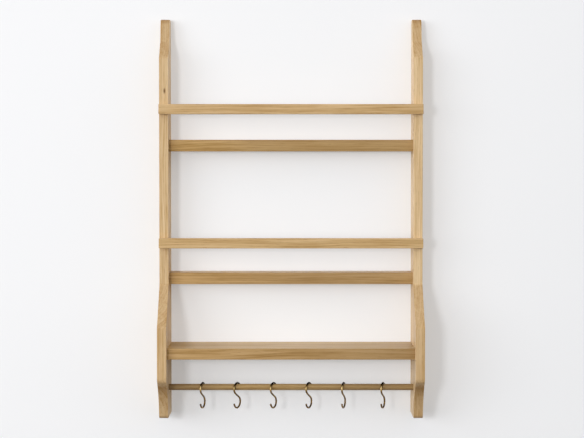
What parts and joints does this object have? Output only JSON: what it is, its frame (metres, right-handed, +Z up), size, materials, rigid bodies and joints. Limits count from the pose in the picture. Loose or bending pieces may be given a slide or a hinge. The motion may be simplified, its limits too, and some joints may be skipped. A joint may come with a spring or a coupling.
{
  "type": "wall-hung plate rack",
  "caption": "Wall-hung oak plate rack: shaped side boards carry plate ledges behind slim front rails, a shelf, and a rod with swinging brass S-hooks.",
  "frame": {"origin": "on the wall plane, midway between the round entries of the two keyhole hanger plates", "axes": "+Z up along the uprights, +Y into the wall, so the rack's front faces -Y, and +X to its right seen from the front"},
  "size_m": [0.6, 0.15, 0.911],
  "materials": {
    "oak": "matt oiled",
    "beech_dowel": "raw turned",
    "antique_brass": "aged satin",
    "zinc_plate": "bright zinc",
    "zinc_screw": "zinc"
  },
  "bodies": {
    "rack": {"left_upright": "oak", "right_upright": "oak", "upper_front_rail": "oak", "lower_front_rail": "oak", "upper_ledge": "oak", "lower_ledge": "oak", "bottom_shelf": "oak", "hanging_rod": "oak", "upper_rail_dowels": "beech_dowel", "lower_rail_dowels": "beech_dowel", "upper_ledge_dowels": "beech_dowel", "lower_ledge_dowels": "beech_dowel", "shelf_dowels": "beech_dowel", "left_keyhole_plate": "zinc_plate", "right_keyhole_plate": "zinc_plate", "left_plate_screws": "zinc_screw", "right_plate_screws": "zinc_screw"},
    "hook_1": {"s_hook_1": "antique_brass"},
    "hook_2": {"s_hook_2": "antique_brass"},
    "hook_3": {"s_hook_3": "antique_brass"},
    "hook_4": {"s_hook_4": "antique_brass"},
    "hook_5": {"s_hook_5": "antique_brass"},
    "hook_6": {"s_hook_6": "antique_brass"}
  },
  "joints": [
    {"name": "hook_1_swing", "type": "hinge", "parent": "rack", "child": "hook_1", "pos_m": [-0.202, -0.076, -0.7848], "axis": [1, 0, 0], "range_deg": [-70, 70]},
    {"name": "hook_2_swing", "type": "hinge", "parent": "rack", "child": "hook_2", "pos_m": [-0.1231, -0.076, -0.7848], "axis": [1, 0, 0], "range_deg": [-70, 70]},
    {"name": "hook_3_swing", "type": "hinge", "parent": "rack", "child": "hook_3", "pos_m": [-0.0402, -0.076, -0.7848], "axis": [1, 0, 0], "range_deg": [-70, 70]},
    {"name": "hook_4_swing", "type": "hinge", "parent": "rack", "child": "hook_4", "pos_m": [0.0407, -0.076, -0.7848], "axis": [1, 0, 0], "range_deg": [-70, 70]},
    {"name": "hook_5_swing", "type": "hinge", "parent": "rack", "child": "hook_5", "pos_m": [0.1201, -0.076, -0.7848], "axis": [1, 0, 0], "range_deg": [-70, 70]},
    {"name": "hook_6_swing", "type": "hinge", "parent": "rack", "child": "hook_6", "pos_m": [0.21, -0.076, -0.7848], "axis": [1, 0, 0], "range_deg": [-70, 70]}
  ]
}
